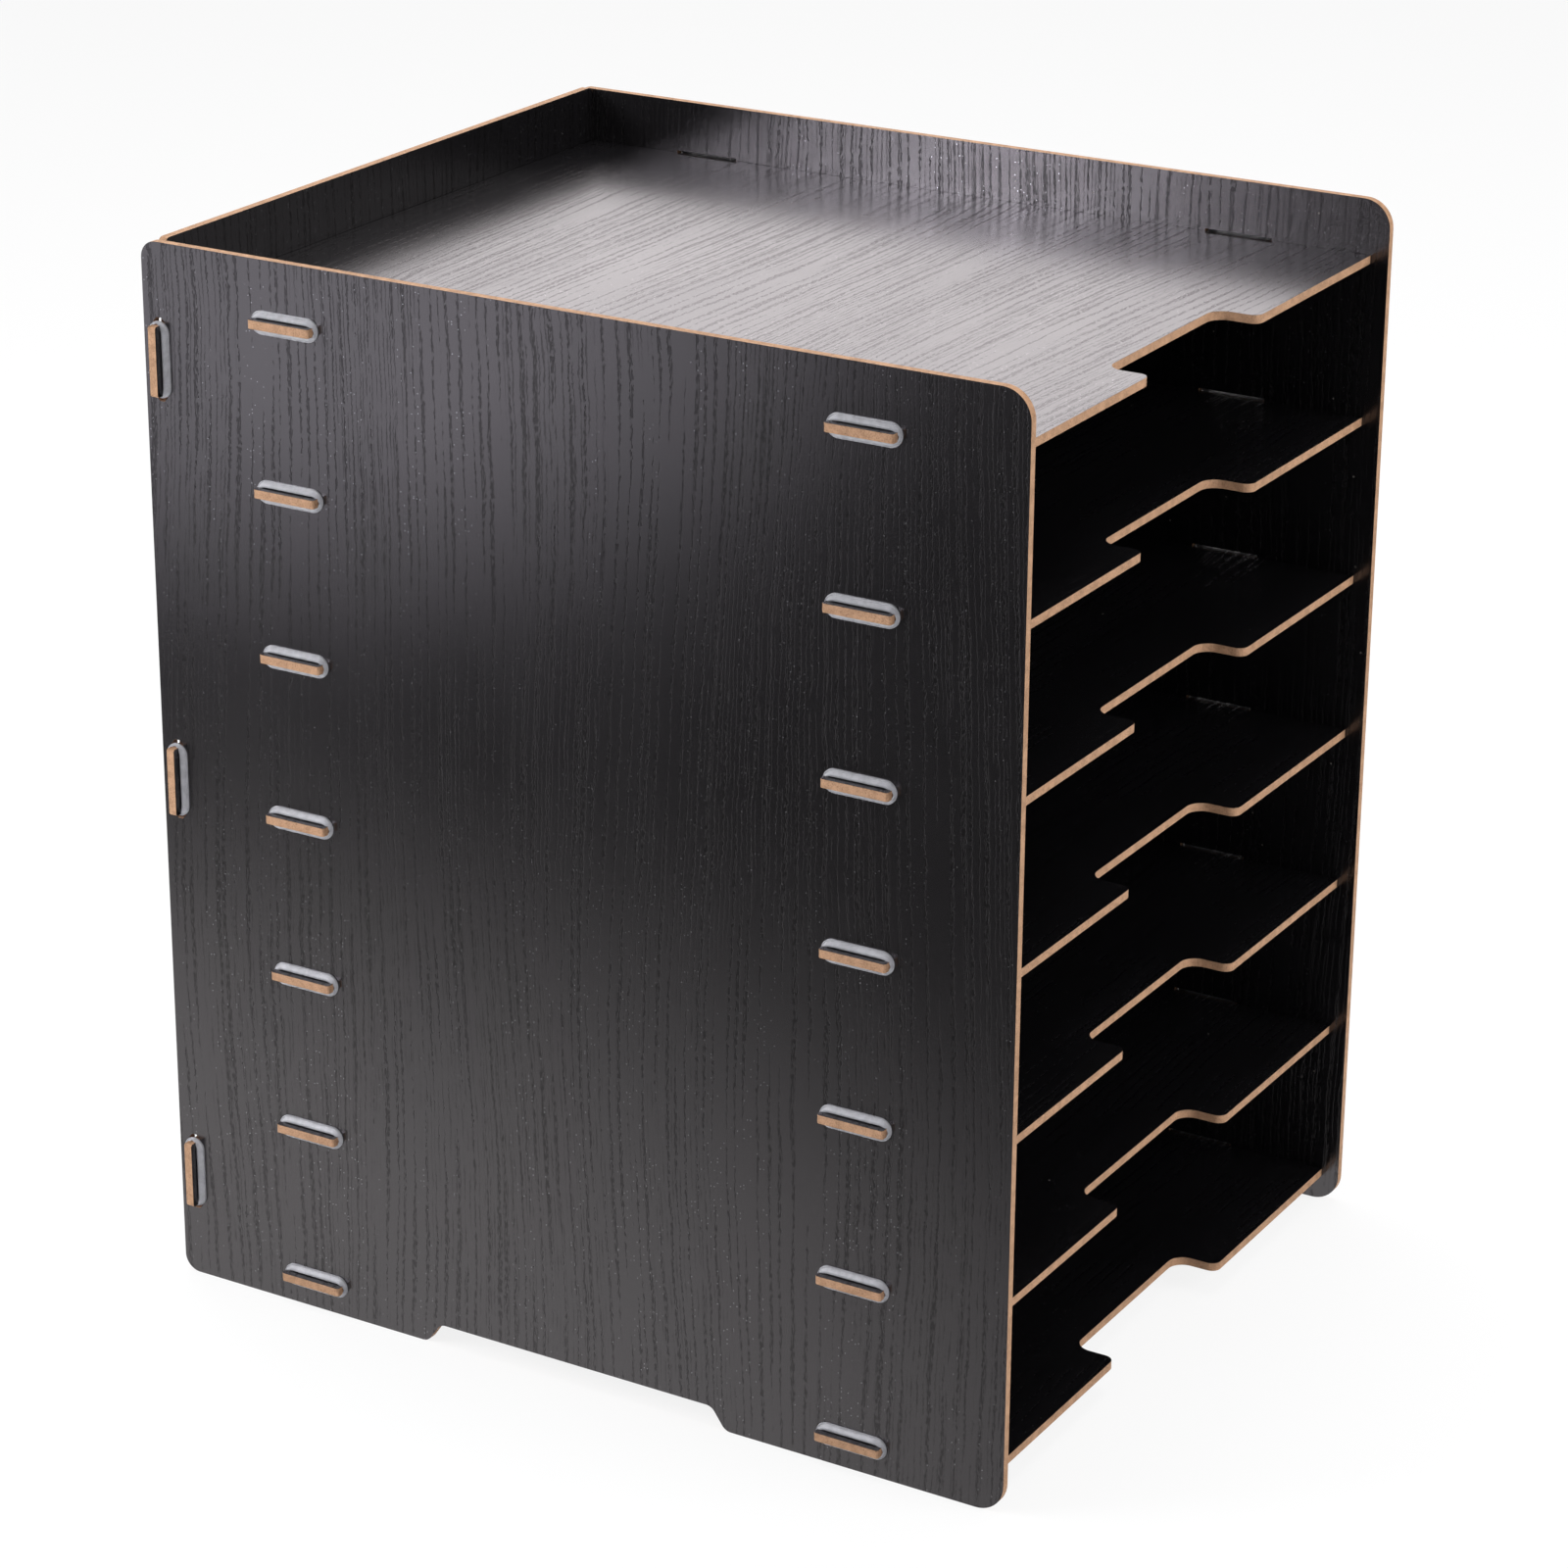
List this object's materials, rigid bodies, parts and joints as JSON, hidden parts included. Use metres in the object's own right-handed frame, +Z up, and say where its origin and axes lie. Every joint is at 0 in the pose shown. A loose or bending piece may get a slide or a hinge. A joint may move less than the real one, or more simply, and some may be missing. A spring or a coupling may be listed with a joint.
{
  "type": "tiered document organizer",
  "caption": "Open-front paper rack of thin black laminated board: notched shelves whose tabs pass through slotted side panels and are locked by oval plastic buckles.",
  "frame": {"origin": "on the table, midway between the side panels and midway between their front and rear edges", "axes": "+Z up, +X to the right seen from the front, the open front faces -Y"},
  "size_m": [0.2728, 0.33, 0.3786],
  "materials": {
    "black_board": "black wood-grain laminate, semi-gloss, with bare brown fibreboard edges",
    "buckle_plastic": "frosted translucent plastic"
  },
  "bodies": {
    "root": {"side_panel_left": "black_board", "side_panel_right": "black_board", "back_panel": "black_board", "shelf_1": "black_board", "shelf_2": "black_board", "shelf_3": "black_board", "shelf_4": "black_board", "shelf_5": "black_board", "shelf_6": "black_board", "shelf_7": "black_board", "buckle_left_shelf_1_front": "buckle_plastic", "buckle_left_shelf_1_rear": "buckle_plastic", "buckle_left_shelf_2_front": "buckle_plastic", "buckle_left_shelf_2_rear": "buckle_plastic", "buckle_left_shelf_3_front": "buckle_plastic", "buckle_left_shelf_3_rear": "buckle_plastic", "buckle_left_shelf_4_front": "buckle_plastic", "buckle_left_shelf_4_rear": "buckle_plastic", "buckle_left_shelf_5_front": "buckle_plastic", "buckle_left_shelf_5_rear": "buckle_plastic", "buckle_left_shelf_6_front": "buckle_plastic", "buckle_left_shelf_6_rear": "buckle_plastic", "buckle_left_shelf_7_front": "buckle_plastic", "buckle_left_shelf_7_rear": "buckle_plastic", "buckle_left_back_low": "buckle_plastic", "buckle_left_back_middle": "buckle_plastic", "buckle_left_back_high": "buckle_plastic", "buckle_right_shelf_1_front": "buckle_plastic", "buckle_right_shelf_1_rear": "buckle_plastic", "buckle_right_shelf_2_front": "buckle_plastic", "buckle_right_shelf_2_rear": "buckle_plastic", "buckle_right_shelf_3_front": "buckle_plastic", "buckle_right_shelf_3_rear": "buckle_plastic", "buckle_right_shelf_4_front": "buckle_plastic", "buckle_right_shelf_4_rear": "buckle_plastic", "buckle_right_shelf_5_front": "buckle_plastic", "buckle_right_shelf_5_rear": "buckle_plastic", "buckle_right_shelf_6_front": "buckle_plastic", "buckle_right_shelf_6_rear": "buckle_plastic", "buckle_right_shelf_7_front": "buckle_plastic", "buckle_right_shelf_7_rear": "buckle_plastic", "buckle_right_back_low": "buckle_plastic", "buckle_right_back_middle": "buckle_plastic", "buckle_right_back_high": "buckle_plastic"}
  },
  "joints": []
}
